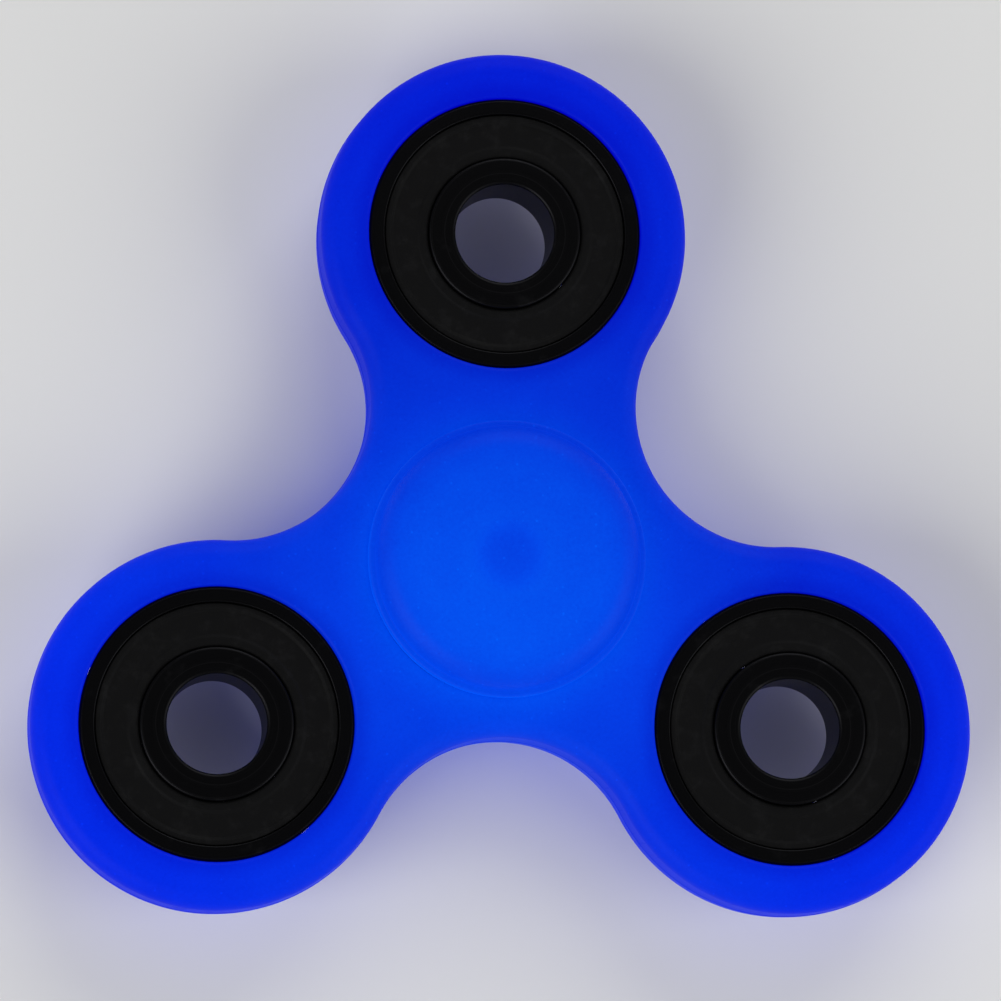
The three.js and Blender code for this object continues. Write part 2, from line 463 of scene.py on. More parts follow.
@dataclass(frozen=True)
class Effect:
    """A shader node group that several finishes use."""

    name: str
    inputs: tuple[tuple[str, str, float], ...]
    outputs: tuple[tuple[str, str], ...]

    def draw(self, graph: Graph, inlet: bpy.types.Node, outlet: bpy.types.Node) -> None:
        """Draws the nodes between the group's inlet and outlet."""
        raise NotImplementedError

    def tree(self) -> bpy.types.NodeTree:
        """The group's tree, built the first time it is asked for.

        Returns:
            The tree.
        """
        known = bpy.data.node_groups.get(self.name)
        if known is not None:
            return known
        tree = bpy.data.node_groups.new(self.name, "ShaderNodeTree")
        for name, kind, value in self.inputs:
            socket = tree.interface.new_socket(name, in_out="INPUT", socket_type=kind)
            if kind == "NodeSocketFloat":
                socket.default_value = value
        for name, kind in self.outputs:
            tree.interface.new_socket(name, in_out="OUTPUT", socket_type=kind)
        inlet = tree.nodes.new("NodeGroupInput")
        outlet = tree.nodes.new("NodeGroupOutput")
        self.draw(Graph(tree), inlet, outlet)
        return tree

    def use(self, graph: Graph, inputs: dict[str | int, object]) -> bpy.types.Node:
        """Places the group in a material.

        Args:
            graph: The material's graph.
            inputs: Values or links for the group's inputs.

        Returns:
            The group node.
        """
        made = graph.tree.nodes.new("ShaderNodeGroup")
        made.node_tree = self.tree()
        for key, value in inputs.items():
            graph.set(made.inputs[key], value)
        return made


@dataclass(frozen=True)
class MouldedSkin(Effect):
    """The faint ripple and fine grain of a moulded surface, as a height and a roughness mask."""

    name: str = "moulded skin"
    inputs: tuple[tuple[str, str, float], ...] = (
        ("Place", "NodeSocketVector", 0.0),
        ("Ripple", "NodeSocketFloat", 0.5),
        ("Grain", "NodeSocketFloat", 0.5),
    )
    outputs: tuple[tuple[str, str], ...] = (("Height", "NodeSocketFloat"), ("Mask", "NodeSocketFloat"))
    ripple_scale: float = 620.0
    grain_scale: float = 7200.0
    patch_scale: float = 150.0
    patch_share: float = 0.65
    grain_share: float = 0.35

    def draw(self, graph: Graph, inlet: bpy.types.Node, outlet: bpy.types.Node) -> None:
        """Adds the ripple and the grain, each by its own strength.

        Args:
            graph: The group's graph.
            inlet: Its inputs.
            outlet: Its outputs.
        """
        place = inlet.outputs["Place"]
        ripple = graph.noise(place, self.ripple_scale, 1.0, 0.4)
        grain = graph.noise(place, self.grain_scale, 2.0, 0.6)
        waves = graph.maths("MULTIPLY", ripple, inlet.outputs["Ripple"])
        height = graph.maths("MULTIPLY_ADD", grain, inlet.outputs["Grain"], waves)
        graph.set(outlet.inputs["Height"], height)
        patches = graph.noise(place, self.patch_scale, 3.0, 0.6)
        shared = graph.maths("MULTIPLY", patches, self.patch_share)
        graph.set(outlet.inputs["Mask"], graph.maths("MULTIPLY_ADD", grain, self.grain_share, shared))


@dataclass(frozen=True)
class Hairlines(Effect):
    """Fine scratches from handling, as a mask that is 1 on a scratch."""

    name: str = "hairlines"
    inputs: tuple[tuple[str, str, float], ...] = (
        ("Place", "NodeSocketVector", 0.0),
        ("Amount", "NodeSocketFloat", 0.5),
    )
    outputs: tuple[tuple[str, str], ...] = (("Mask", "NodeSocketFloat"),)
    families: tuple[tuple[float, float], ...] = ((0.35, 3.0), (1.45, 11.0), (2.5, 23.0))
    stretch: float = 22.0
    scale: float = 240.0
    faint: float = 0.66
    clear: float = 0.72

    def draw(self, graph: Graph, inlet: bpy.types.Node, outlet: bpy.types.Node) -> None:
        """Adds the crossing families of long thin scratches, each by its turn and the place it is cut from.

        Args:
            graph: The group's graph.
            inlet: Its inputs.
            outlet: Its outputs.
        """
        total: bpy.types.NodeSocket | None = None
        for turn, seed in self.families:
            inputs = {
                "Vector": inlet.outputs["Place"],
                "Location": (seed, seed, 0.0),
                "Rotation": (0.0, 0.0, turn),
                "Scale": (1.0, self.stretch, 1.0),
            }
            strands = graph.noise(graph.node("Mapping", inputs).outputs[0], self.scale, 2.0, 0.5)
            lines = graph.smooth(strands, self.faint, self.clear)
            total = lines if total is None else graph.maths("MAXIMUM", total, lines)
        graph.set(outlet.inputs["Mask"], graph.maths("MULTIPLY", total, inlet.outputs["Amount"]))


@dataclass(frozen=True)
class PigmentSpeckle(Effect):
    """Glow pigment in the plastic: soft clouds, fine grain, and lit and dull crystals, as a factor about 1."""

    name: str = "pigment speckle"
    inputs: tuple[tuple[str, str, float], ...] = (
        ("Place", "NodeSocketVector", 0.0),
        ("Contrast", "NodeSocketFloat", 1.0),
    )
    outputs: tuple[tuple[str, str], ...] = (("Factor", "NodeSocketFloat"),)
    cloud_scale: float = 240.0
    cloud_depth: float = 0.26
    grain_scale: float = 3400.0
    grain_depth: float = 0.36
    crystal_scale: float = 1900.0
    crystal_core: float = 0.10
    crystal_edge: float = 0.26
    lit_gain: float = 0.34
    dull_gain: float = -0.12

    def draw(self, graph: Graph, inlet: bpy.types.Node, outlet: bpy.types.Node) -> None:
        """Adds up the clouds, the grain and two sorts of crystal.

        Args:
            graph: The group's graph.
            inlet: Its inputs.
            outlet: Its outputs.
        """
        place = inlet.outputs["Place"]
        cloud = graph.noise(place, self.cloud_scale, 4.0, 0.62)
        clouds = graph.maths("MULTIPLY_ADD", cloud, self.cloud_depth, -self.cloud_depth / 2)
        dust = graph.noise(place, self.grain_scale, 2.0, 0.7)
        grain = graph.maths("MULTIPLY_ADD", dust, self.grain_depth, -self.grain_depth / 2)
        crystals = graph.node("TexVoronoi", {"Vector": place, "Scale": self.crystal_scale, "Randomness": 1.0})
        body = graph.smooth(crystals.outputs["Distance"], self.crystal_core, self.crystal_edge, 1.0, 0.0)
        sort = graph.node("SeparateColor", {0: crystals.outputs["Color"]})
        lit = graph.smooth(sort.outputs[0], 0.70, 1.0, 0.0, self.lit_gain)
        dull = graph.smooth(sort.outputs[1], 0.72, 0.98, 0.0, self.dull_gain)
        crystal = graph.maths("MULTIPLY", body, graph.maths("ADD", lit, dull))
        total = graph.maths("ADD", graph.maths("ADD", clouds, grain), crystal)
        graph.set(outlet.inputs["Factor"], graph.maths("MULTIPLY_ADD", total, inlet.outputs["Contrast"], 1.0))


@dataclass(frozen=True)
class SeatDistance(Effect):
    """How far a point is from the axis of the nearest bearing, and from that of the nearest lobe."""

    centres: tuple[tuple[float, float], ...] = ()
    name: str = "seat distance"
    inputs: tuple[tuple[str, str, float], ...] = (("Place", "NodeSocketVector", 0.0),)
    outputs: tuple[tuple[str, str], ...] = (
        ("Distance", "NodeSocketFloat"),
        ("Lobe Distance", "NodeSocketFloat"),
    )

    def draw(self, graph: Graph, inlet: bpy.types.Node, outlet: bpy.types.Node) -> None:
        """Takes the least of the distances, once over the lobes and once with the centre too.

        Args:
            graph: The group's graph.
            inlet: Its inputs.
            outlet: Its outputs.
        """
        flat = graph.vector("MULTIPLY", inlet.outputs["Place"], (1.0, 1.0, 0.0)).outputs[0]
        nearest: bpy.types.NodeSocket | None = None
        for x, y in self.centres:
            distance = graph.vector("DISTANCE", flat, (x * MM, y * MM, 0.0)).outputs["Value"]
            nearest = distance if nearest is None else graph.maths("MINIMUM", nearest, distance)
        graph.set(outlet.inputs["Lobe Distance"], nearest)
        middle = graph.vector("LENGTH", flat).outputs["Value"]
        graph.set(outlet.inputs["Distance"], graph.maths("MINIMUM", nearest, middle))


@dataclass(frozen=True)
class Finish:
    """What every finish shares: a name and the way its material is started."""

    title: str

    def start(self) -> tuple[bpy.types.Material, Graph, bpy.types.Node, bpy.types.NodeSocket]:
        """Starts the material.

        Returns:
            The material, its graph, its Principled shader, and Object coordinates.
        """
        material = bpy.data.materials.new(self.title)
        material.use_nodes = True
        tree = material.node_tree
        tree.nodes.clear()
        graph = Graph(tree)
        shader = graph.node("BsdfPrincipled")
        output = graph.node("OutputMaterial")
        tree.links.new(shader.outputs[0], output.inputs[0])
        place = graph.node("TexCoord").outputs["Object"]
        return material, graph, shader, place

    @staticmethod
    def bump(graph: Graph, shader: bpy.types.Node, height: bpy.types.NodeSocket, depth: float) -> None:
        """Bumps a shader's surface.

        Args:
            graph: The material's graph.
            shader: Its Principled shader.
            height: The height, 0 to 1.
            depth: What a height of 1 stands for, in millimetres.
        """
        inputs = {"Height": height, "Distance": depth * MM, "Strength": 1.0}
        graph.set(shader.inputs["Normal"], graph.node("Bump", inputs).outputs[0])


@dataclass(frozen=True)
class GlowPlastic(Finish):
    """Satin moulded plastic that glows deep blue, strongest at the hub and weaker out along the lobes.

    The body's fade and the cap's fade give the colour a flat face shows, in linear light, by millimetres from
    the spin axis; near the hub the body's holds painted light, the cap's glow falling on the body, and the
    cap's dims over its shoulder to a ring of painted shade near its foot. reflected is the share of it that
    the plastic reflects, and the glow makes up the rest. The glow is weaker towards the first lobe, in a
    painted side light that steps across the hub and a slow fall from end to end, and painted shade weakens it
    beside a lobe's seat and on the walls. Its reaches are in millimetres.
    """

    title: str = "glow plastic"
    piece: GlowPiece = GlowPiece.BODY
    seats: SeatDistance = field(default_factory=SeatDistance)
    body_colour: Colour = (0.0006, 0.011, 0.15)
    reflected: Colour = (0.0, 0.010, 0.11)
    # Painted light: the rise inside 15 mm stands for the cap's glow falling on the body near the hub.
    body_fade_with_cap_spill: tuple[tuple[float, Colour], ...] = (
        (11.5, (0.0, 0.0592, 0.778)),
        (12.0, (0.0, 0.0547, 0.768)),
        (12.5, (0.0, 0.0508, 0.758)),
        (13.0, (0.0, 0.0474, 0.749)),
        (14.0, (0.0, 0.0418, 0.724)),
        (15.0, (0.0, 0.0395, 0.710)),
        (17.0, (0.0, 0.0362, 0.697)),
        (20.0, (0.0, 0.0301, 0.680)),
        (24.0, (0.0, 0.0243, 0.680)),
        (28.0, (0.0, 0.0250, 0.706)),
        (32.0, (0.0, 0.0240, 0.720)),
        (36.0, (0.0, 0.0200, 0.722)),
        (41.0, (0.0, 0.0175, 0.715)),
    )
    # The cap dims over its shoulder; the dark ring at 10.4 mm, near the shoulder's foot, is painted shade.
    cap_fade_with_ring_shade: tuple[tuple[float, Colour], ...] = (
        (0.3, linear(0, 66, 225)),
        (1.5, linear(0, 68, 228)),
        (2.0, linear(0, 71, 231)),
        (2.5, linear(0, 75, 234)),
        (3.2, linear(0, 78, 234)),
        (5.0, linear(0, 76, 233)),
        (7.0, linear(0, 76, 233)),
        (8.0, linear(0, 74, 232)),
        (9.0, linear(0, 70, 229)),
        (9.5, linear(0, 66, 226)),
        (10.0, linear(0, 62, 222)),
        (10.4, linear(0, 60, 220)),
        (10.75, linear(0, 64, 224)),
        (11.02, linear(0, 65, 226)),
        (11.14, linear(0, 73, 231)),
    )
    # Painted light and shade in the glow: a brighter side across the hub, darker walls, darker bands beside
    # the seats.
    dimmer_towards: tuple[float, float, float] = (0.2, 0.98, 0.0)
    painted_side_light_reach: float = 15.0
    painted_side_light: tuple[float, float] = (1.20, 0.82)
    far_reach: tuple[float, float] = (-28.0, 41.0)
    end_to_end_fall: tuple[float, float] = (1.03, 0.94)
    wall_painted_shade: float = 0.74
    wall_tilt: float = 0.85
    seat_reach: tuple[float, float] = (11.1, 12.9)
    seat_painted_shade: float = 0.70
    blue_slowness: float = 0.65
    scratches: float = 0.35
    roughness: float = 0.38
    skin_roughness: float = 0.16
    scratch_roughness: float = 0.20
    bump_depth: float = 0.012
    refraction: float = 1.46
    specular: float = 0.04

    def fade(self, graph: Graph, place: bpy.types.NodeSocket) -> bpy.types.NodeSocket:
        """The colour by distance from the spin axis, with its painted light near the hub on the body and its
        painted ring of shade on the cap.

        Args:
            graph: The material's graph.
            place: Object coordinates.

        Returns:
            The colour.
        """
        stops = self.body_fade_with_cap_spill if self.piece is GlowPiece.BODY else self.cap_fade_with_ring_shade
        reach = stops[-1][0]
        flat = graph.vector("MULTIPLY", place, (1.0, 1.0, 0.0)).outputs[0]
        share = graph.maths("DIVIDE", graph.vector("LENGTH", flat).outputs["Value"], reach * MM)
        return graph.ramp(share, [(distance / reach, colour) for distance, colour in stops])

    def glow_and_painted_shading(self, graph: Graph, place: bpy.types.NodeSocket) -> bpy.types.NodeSocket:
        """How strongly the plastic glows, with painted light and shade in it: a painted side light across the
        hub, a slow fall towards the first lobe, and painted shade at the body's seats and walls.

        Args:
            graph: The material's graph.
            place: Object coordinates.

        Returns:
            The factor, about 1.
        """
        along = graph.vector("DOT_PRODUCT", place, self.dimmer_towards).outputs["Value"]
        # Painted side light: one side brighter than the other, stepping across the hub where the cap's glow
        # falls on the body, and held out to the lobes.
        side_light = graph.smooth(along, -self.painted_side_light_reach * MM, self.painted_side_light_reach * MM, *self.painted_side_light)
        first, last = self.far_reach
        high, low = self.end_to_end_fall
        inputs = {"Value": along, "From Min": first * MM, "From Max": last * MM, "To Min": high, "To Max": low}
        glow_and_painted_shading = graph.maths("MULTIPLY", side_light, graph.node("MapRange", inputs).outputs[0])
        if self.piece is GlowPiece.BODY:
            # Painted shade: the walls glow less than the flat faces, darker the steeper they stand.
            tilt = graph.node("SeparateXYZ", {0: graph.node("NewGeometry").outputs["Normal"]}).outputs["Z"]
            wall = graph.smooth(graph.maths("ABSOLUTE", tilt), 0.0, self.wall_tilt, self.wall_painted_shade, 1.0)
            # Painted shade: a darker band beside each lobe's seat, where the plastic meets the black bearing.
            seat = self.seats.use(graph, {"Place": place}).outputs["Lobe Distance"]
            edge, clear = self.seat_reach
            rim = graph.smooth(seat, edge * MM, clear * MM, self.seat_painted_shade, 1.0)
            glow_and_painted_shading = graph.maths("MULTIPLY", glow_and_painted_shading, graph.maths("MULTIPLY", rim, wall))
        pigment = PigmentSpeckle().use(graph, {"Place": place, "Contrast": 1.0}).outputs["Factor"]
        return graph.maths("MULTIPLY", glow_and_painted_shading, pigment)

    def material(self) -> bpy.types.Material:
        """Builds the material.

        Returns:
            The finished material.
        """
        material, graph, shader, place = self.start()
        glow_and_painted_shading = self.glow_and_painted_shading(graph, place)
        shown = graph.node("SeparateColor", {0: self.fade(graph, place)}).outputs
        green = graph.maths("SUBTRACT", graph.maths("MULTIPLY", shown[1], glow_and_painted_shading), self.reflected[1])
        slow = graph.maths("MULTIPLY_ADD", glow_and_painted_shading, 1 - self.blue_slowness, self.blue_slowness)
        blue = graph.maths("SUBTRACT", graph.maths("MULTIPLY", shown[2], slow), self.reflected[2])
        glow = graph.node("CombineColor", {0: 0.0, 1: green, 2: blue}).outputs[0]
        graph.set(shader.inputs["Emission Color"], glow)
        shader.inputs["Emission Strength"].default_value = 1.0
        # Painted shade reaches the base colour too: it darkens where the glow factor is low.
        deep = tuple(channel * 0.8 for channel in self.body_colour)
        graph.set(shader.inputs["Base Color"], graph.ramp(glow_and_painted_shading, [(0.6, deep), (1.0, self.body_colour)]))
        skin = MouldedSkin().use(graph, {"Place": place, "Ripple": 0.8, "Grain": 0.25})
        scratches = Hairlines().use(graph, {"Place": place, "Amount": self.scratches}).outputs["Mask"]
        rough = graph.maths("MULTIPLY_ADD", skin.outputs["Mask"], self.skin_roughness, self.roughness)
        rough = graph.maths("MULTIPLY_ADD", scratches, self.scratch_roughness, rough)
        graph.set(shader.inputs["Roughness"], rough)
        height = graph.maths("MULTIPLY_ADD", scratches, -0.25, skin.outputs["Height"])
        self.bump(graph, shader, height, self.bump_depth)
        shader.inputs["IOR"].default_value = self.refraction
        shader.inputs["Specular IOR Level"].default_value = self.specular
        return material


@dataclass(frozen=True)
class BlackSteel(Finish):
    """Bearing steel with a black oxide finish and fine turning marks round its axis."""

    title: str = "black bearing steel"
    seats: SeatDistance = field(default_factory=SeatDistance)
    colour: Colour = (0.006, 0.006, 0.007)
    worn: Colour = (0.022, 0.022, 0.024)
    mark_scale: float = 9000.0
    line_scale: float = 4200.0
    patch_scale: float = 420.0
    roughness: float = 0.28
    mark_roughness: float = 0.22
    bump_depth: float = 0.006
    metal: float = 0.85
    specular: float = 0.3

    def material(self) -> bpy.types.Material:
        """Builds the material.

        Returns:
            The finished material.
        """
        material, graph, shader, place = self.start()
        distance = self.seats.use(graph, {"Place": place}).outputs["Distance"]
        height = graph.node("SeparateXYZ", {0: place}).outputs["Z"]
        rings = graph.node("CombineXYZ", {"X": distance, "Y": height, "Z": 0.0}).outputs[0]
        marks = graph.noise(rings, self.mark_scale, 3.0, 0.7)
        patches = graph.noise(place, self.patch_scale, 3.0, 0.6)
        lines = graph.smooth(graph.noise(rings, self.line_scale, 2.0, 0.6), 0.62, 0.74, 0.0, 0.6)
        wear = graph.maths("MAXIMUM", graph.smooth(patches, 0.60, 0.78, 0.0, 0.5), lines)
        graph.set(shader.inputs["Base Color"], graph.ramp(wear, [(0.0, self.colour), (1.0, self.worn)]))
        shader.inputs["Metallic"].default_value = self.metal
        rough = graph.maths("MULTIPLY_ADD", marks, self.mark_roughness, self.roughness)
        graph.set(shader.inputs["Roughness"], rough)
        self.bump(graph, shader, marks, self.bump_depth)
        shader.inputs["Specular IOR Level"].default_value = self.specular
        return material


@dataclass(frozen=True)
class SealRubber(Finish):
    """Black moulded seal rubber with a matte grain and a little dust."""

    title: str = "black seal rubber"
    seats: SeatDistance = field(default_factory=SeatDistance)
    colour: Colour = (0.0022, 0.0022, 0.0025)
    dusty: Colour = (0.006, 0.006, 0.0065)
    flow_scale: float = 3600.0
    dust_scale: float = 700.0
    roughness: float = 0.52
    skin_roughness: float = 0.25
    bump_depth: float = 0.01
    specular: float = 0.10

    def material(self) -> bpy.types.Material:
        """Builds the material.

        Returns:
            The finished material.
        """
        material, graph, shader, place = self.start()
        distance = self.seats.use(graph, {"Place": place}).outputs["Distance"]
        skin = MouldedSkin().use(graph, {"Place": place, "Ripple": 0.3, "Grain": 0.8})
        flow = graph.noise(graph.node("CombineXYZ", {"X": distance}).outputs[0], self.flow_scale, 1.0, 0.5)
        dust = graph.smooth(graph.noise(place, self.dust_scale, 5.0, 0.7), 0.48, 0.75)
        graph.set(shader.inputs["Base Color"], graph.ramp(dust, [(0.0, self.colour), (1.0, self.dusty)]))
        rough = graph.maths("MULTIPLY_ADD", skin.outputs["Mask"], self.skin_roughness, self.roughness)
        graph.set(shader.inputs["Roughness"], rough)
        height = graph.maths("MULTIPLY_ADD", flow, 0.35, skin.outputs["Height"])
        self.bump(graph, shader, height, self.bump_depth)
        shader.inputs["Specular IOR Level"].default_value = self.specular
        return material


@dataclass(frozen=True)
class BallSteel(Finish):
    """Polished bearing steel with a film of grease."""

    title: str = "polished ball steel"
    colour: Colour = (0.62, 0.63, 0.65)
    greased: Colour = (0.42, 0.41, 0.37)
    film_scale: float = 480.0
    grain_scale: float = 6000.0
    roughness: float = 0.07
    film_roughness: float = 0.18
    bump_depth: float = 0.001

    def material(self) -> bpy.types.Material:
        """Builds the material.

        Returns:
            The finished material.
        """
        material, graph, shader, place = self.start()
        film = graph.smooth(graph.noise(place, self.film_scale, 3.0, 0.55), 0.42, 0.66)
        graph.set(shader.inputs["Base Color"], graph.ramp(film, [(0.0, self.colour), (1.0, self.greased)]))
        shader.inputs["Metallic"].default_value = 1.0
        rough = graph.maths("MULTIPLY_ADD", film, self.film_roughness, self.roughness)
        graph.set(shader.inputs["Roughness"], rough)
        self.bump(graph, shader, graph.noise(place, self.grain_scale, 2.0, 0.5), self.bump_depth)
        return material


@dataclass(frozen=True)
class CageNylon(Finish):
    """Black moulded nylon of the ball cages."""

    title: str = "black cage nylon"
    colour: Colour = (0.012, 0.012, 0.013)
    pale: Colour = (0.022, 0.022, 0.024)
    roughness: float = 0.42
    skin_roughness: float = 0.25
    bump_depth: float = 0.01

    def material(self) -> bpy.types.Material:
        """Builds the material.

        Returns:
            The finished material.
        """
        material, graph, shader, place = self.start()
        skin = MouldedSkin().use(graph, {"Place": place, "Ripple": 0.5, "Grain": 0.6})
        mask = skin.outputs["Mask"]
        graph.set(shader.inputs["Base Color"], graph.ramp(mask, [(0.3, self.colour), (0.7, self.pale)]))
        rough = graph.maths("MULTIPLY_ADD", mask, self.skin_roughness, self.roughness)
        graph.set(shader.inputs["Roughness"], rough)
        self.bump(graph, shader, skin.outputs["Height"], self.bump_depth)
        return material


@dataclass(frozen=True)
class FloorPaint(Finish):
    """The pale matte floor the spinner lies on, with painted light that brightens it far away to the
    surround's brightness. Metres.
    """

    title: str = "pale floor"
    colour: Colour = (0.83, 0.83, 0.82)
    shade: Colour = (0.80, 0.80, 0.792)
    far_painted_light: float = 0.50
    painted_light_start: float = 0.60
    painted_light_end: float = 1.50
    cloud_scale: float = 9.0
    roughness: float = 0.9
    specular: float = 0.1

    def material(self) -> bpy.types.Material:
        """Builds the material.

        Returns:
            The finished material.
        """
        material, graph, shader, place = self.start()
        cloud = graph.noise(place, self.cloud_scale, 3.0, 0.5)
        graph.set(shader.inputs["Base Color"], graph.ramp(cloud, [(0.3, self.shade), (0.7, self.colour)]))
        reach = graph.vector("LENGTH", place).outputs["Value"]
        # Painted light: the floor glows more the farther it lies from the spinner.
        rise = graph.smooth(reach, self.painted_light_start, self.painted_light_end, 0.0, self.far_painted_light)
        grey = graph.node("CombineColor", {0: rise, 1: rise, 2: rise}).outputs[0]
        graph.set(shader.inputs["Emission Color"], grey)
        shader.inputs["Emission Strength"].default_value = 1.0
        shader.inputs["Roughness"].default_value = self.roughness
        shader.inputs["Specular IOR Level"].default_value = self.specular
        return material


# --- the spinner's pieces --------------------------------------------------------------------------------


@dataclass(frozen=True)
class Place:
    """Where a bearing sits and which bodies its turning pieces ride on."""

    prefix: str
    hub_body: str
    ball_body: str

    def centre(self) -> Vector:
        """The bearing's centre in millimetres, from the model."""
        low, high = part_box(f"{self.prefix}_outer_ring")
        return (low + high) / 2 / MM


@dataclass
class BallBearing:
    """A 608 ball bearing, modelled once at the origin and copied to each place. Millimetres.

    The names that end in ease are how far a corner's rounding reaches.
    """

    bore_radius: float = 4.0
    outer_radius: float = 11.0
    half_width: float = 3.5
    ball_radius: float = 1.9845
    ball_count: int = 7
    chamfer: float = 0.3
    clearance: float = 0.06
    groove_relief: float = 0.1
    groove_depth: float = 0.7
    pocket_gap: float = 0.12
    cage_floor: float = 0.3
    cage_reach: float = 0.8
    cage_side_gap: float = 0.35
    seal_step: float = 0.9
    seal_recess: float = 0.2
    seal_gap: float = 0.05
    lip_gap: float = 0.05
    end_gap: float = 0.15
    seat_ease: float = 0.12
    shoulder_ease: float = 0.08
    face_ease: float = 0.22
    trough_depth: float = 0.16
    rim_bead: float = 0.45
    rim_slope: float = 0.62
    lip_slope: float = 0.95
    lip_bead: float = 0.75
    lip_edge: float = 0.28
    lip_drop: float = 0.04
    seal_ease: float = 0.1
    pocket_start: float = 0.4
    cage_edge: float = 0.06
    cage_edge_angle: float = 50.0
    groove_steps: int = 10
    ball_cuts: int = 7
    pocket_steps: int = 48
    cage_steps: int = 84
    steps: int = 96

    def __post_init__(self) -> None:
        """Works out the sizes that follow from the others."""
        self.pitch = (self.bore_radius + self.outer_radius) / 2
        self.groove = self.ball_radius + self.groove_relief
        self.outer_floor = self.pitch + self.ball_radius + self.clearance
        self.inner_floor = self.pitch - self.ball_radius - self.clearance
        self.outer_shoulder = self.outer_floor - self.groove_depth
        self.inner_shoulder = self.inner_floor + self.groove_depth
        self.groove_angle = math.acos((self.groove - self.groove_depth) / self.groove)
        self.cage_bottom = self.ball_radius + self.pocket_gap + self.cage_floor
        self.seal_bottom = self.cage_bottom + self.end_gap
        self.seal_seat = self.outer_shoulder + self.seal_step

    def outer_ring(self) -> bpy.types.Object:
        """Turns the outer ring: rounded outside corners, a seat for each seal, and the ball groove.

        Returns:
            The ring.
        """
        top = self.half_width
        seat = self.seal_bottom - self.seal_gap
        groove_centre = Corner(self.outer_floor - self.groove, 0)
        angle = self.groove_angle
        corners = [
            Corner(self.outer_radius, -top, self.chamfer),
            Corner(self.outer_radius, top, self.chamfer),
            Corner(self.seal_seat, top, self.seat_ease),
            Corner(self.seal_seat, seat),
            Corner(self.outer_shoulder, seat, self.shoulder_ease),
            *Lathe.arc(groove_centre, self.groove, angle, -angle, self.groove_steps),
            Corner(self.outer_shoulder, -seat, self.shoulder_ease),
            Corner(self.seal_seat, -seat),
            Corner(self.seal_seat, -top, self.seat_ease),
        ]
        return Lathe.turn("outer_ring", corners, self.steps, True)

    def inner_ring(self) -> bpy.types.Object:
        """Turns the inner ring: rounded bore mouths and the ball groove.

        Returns:
            The ring.
        """
        top = self.half_width
        groove_centre = Corner(self.inner_floor + self.groove, 0)
        angle = self.groove_angle
        corners = [
            Corner(self.bore_radius, top, self.chamfer),
            Corner(self.bore_radius, -top, self.chamfer),
            Corner(self.inner_shoulder, -top, self.face_ease),
            *Lathe.arc(groove_centre, self.groove, math.pi + angle, math.pi - angle, self.groove_steps),
            Corner(self.inner_shoulder, top, self.face_ease),
        ]
        return Lathe.turn("inner_ring", corners, self.steps, True)

    def seal(self) -> bpy.types.Object:
        """Turns the upper seal: a rim bead, a shallow trough with a step each side, and a lip.

        Returns:
            The seal.
        """
        inner = self.inner_shoulder + self.lip_gap
        outer = self.seal_seat - self.seal_gap
        top = self.half_width - self.seal_recess
        floor = top - self.trough_depth
        lip_top = top - self.lip_drop
        ease = self.seal_ease
        corners = [
            Corner(inner, self.seal_bottom, ease),
            Corner(outer, self.seal_bottom),
            Corner(outer, top, self.seat_ease),
            Corner(outer - self.rim_bead, top, ease),
            Corner(outer - self.rim_slope, floor, ease),
            Corner(inner + self.lip_slope, floor, self.seat_ease),
            Corner(inner + self.lip_bead, lip_top, ease),
            Corner(inner + self.lip_edge, lip_top, ease),
            Corner(inner, floor, self.shoulder_ease),
        ]
        return Lathe.turn("seal", corners, self.steps, True)

    def ball(self) -> bpy.types.Object:
        """Makes one ball from a subdivided cube, blown into a sphere at its place on the X axis.

        Returns:
            The ball.
        """
        Bench.clear()
        bpy.ops.mesh.primitive_cube_add(size=2 * MM)
        piece = bpy.context.object
        piece.name = "ball"
        bpy.ops.object.mode_set(mode="EDIT")
        Bench.pick_all()
        bpy.ops.mesh.subdivide(number_cuts=self.ball_cuts)
        bpy.ops.transform.tosphere(value=1)
        shape = bmesh.from_edit_mesh(piece.data)
        reach = max(vertex.co.length for vertex in shape.verts) / MM
        bpy.ops.transform.resize(value=(self.ball_radius / reach,) * 3)
        bpy.ops.transform.translate(value=(self.pitch * MM, 0, 0))
        bpy.ops.object.mode_set(mode="OBJECT")
        bpy.ops.object.shade_smooth()
        return piece

    def cage(self) -> bpy.types.Object:
        """Makes the crown cage: a turned ring with a round pocket cut for each ball, its edges softened.

        Returns:
            The cage.
        """
        inner = self.inner_shoulder + self.cage_side_gap
        outer = self.outer_shoulder - self.cage_side_gap
        corners = [
            Corner(inner, -self.cage_bottom),
            Corner(outer, -self.cage_bottom),
            Corner(outer, self.cage_reach),
            Corner(inner, self.cage_reach),
        ]
        ring = Lathe.turn("cage", corners, self.cage_steps, True)
        Bench.clear()
        bpy.ops.mesh.primitive_cylinder_add(
            vertices=self.pocket_steps,
            radius=(self.ball_radius + self.pocket_gap) * MM,
            depth=2 * self.pitch * MM,
            location=(self.pitch * MM, 0, 0),
            rotation=(0, math.pi / 2, 0),
        )
        Bench.settle()
        cutter = bpy.context.object
        bpy.ops.object.mode_set(mode="EDIT")
        Bench.pick_all()
        start = (self.pocket_start * MM, 0, 0)
        bpy.ops.mesh.bisect(plane_co=start, plane_no=(1, 0, 0), clear_inner=True, use_fill=True)
        Bench.tidy_mesh()
        bpy.ops.object.mode_set(mode="OBJECT")
        angle = FULL_TURN / self.ball_count
        for _ in range(self.ball_count - 1):
            self.cut(ring, cutter)
            Bench.take(cutter)
            bpy.ops.transform.rotate(value=angle, orient_axis="Z", center_override=(0, 0, 0))
            Bench.settle()
        self.cut(ring, cutter)
        bpy.data.objects.remove(cutter)
        Bench.take(ring)
        soft = ring.modifiers.new("soft edges", "BEVEL")
        soft.width = self.cage_edge * MM
        soft.segments = 2
        soft.limit_method = "ANGLE"
